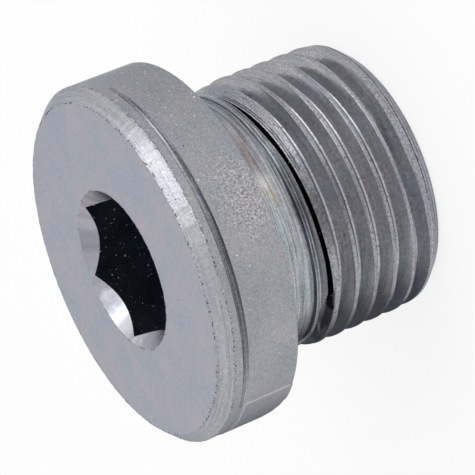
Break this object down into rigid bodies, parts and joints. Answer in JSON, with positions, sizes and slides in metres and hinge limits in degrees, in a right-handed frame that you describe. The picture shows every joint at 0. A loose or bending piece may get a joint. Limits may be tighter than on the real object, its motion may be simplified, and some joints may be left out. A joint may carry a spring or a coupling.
{
  "type": "hex socket plug",
  "caption": "Screw plug with a round head, a hexagon socket in it, a flat sealing face, a plain neck and a parallel pipe thread on the shank.",
  "frame": {"origin": "centre of the thread's flat end face, on the plug's axis", "axes": "+Z along the axis, from the thread's end towards the head; two flats of the hexagon socket face along Y"},
  "size_m": [0.022, 0.022, 0.017],
  "materials": {
    "zinc_plated_steel": "plain zinc plating over cold-formed, turned and thread-rolled steel, dull grey with a faint blue cast"
  },
  "bodies": {
    "root": {"screw_plug": "zinc_plated_steel"}
  },
  "joints": []
}
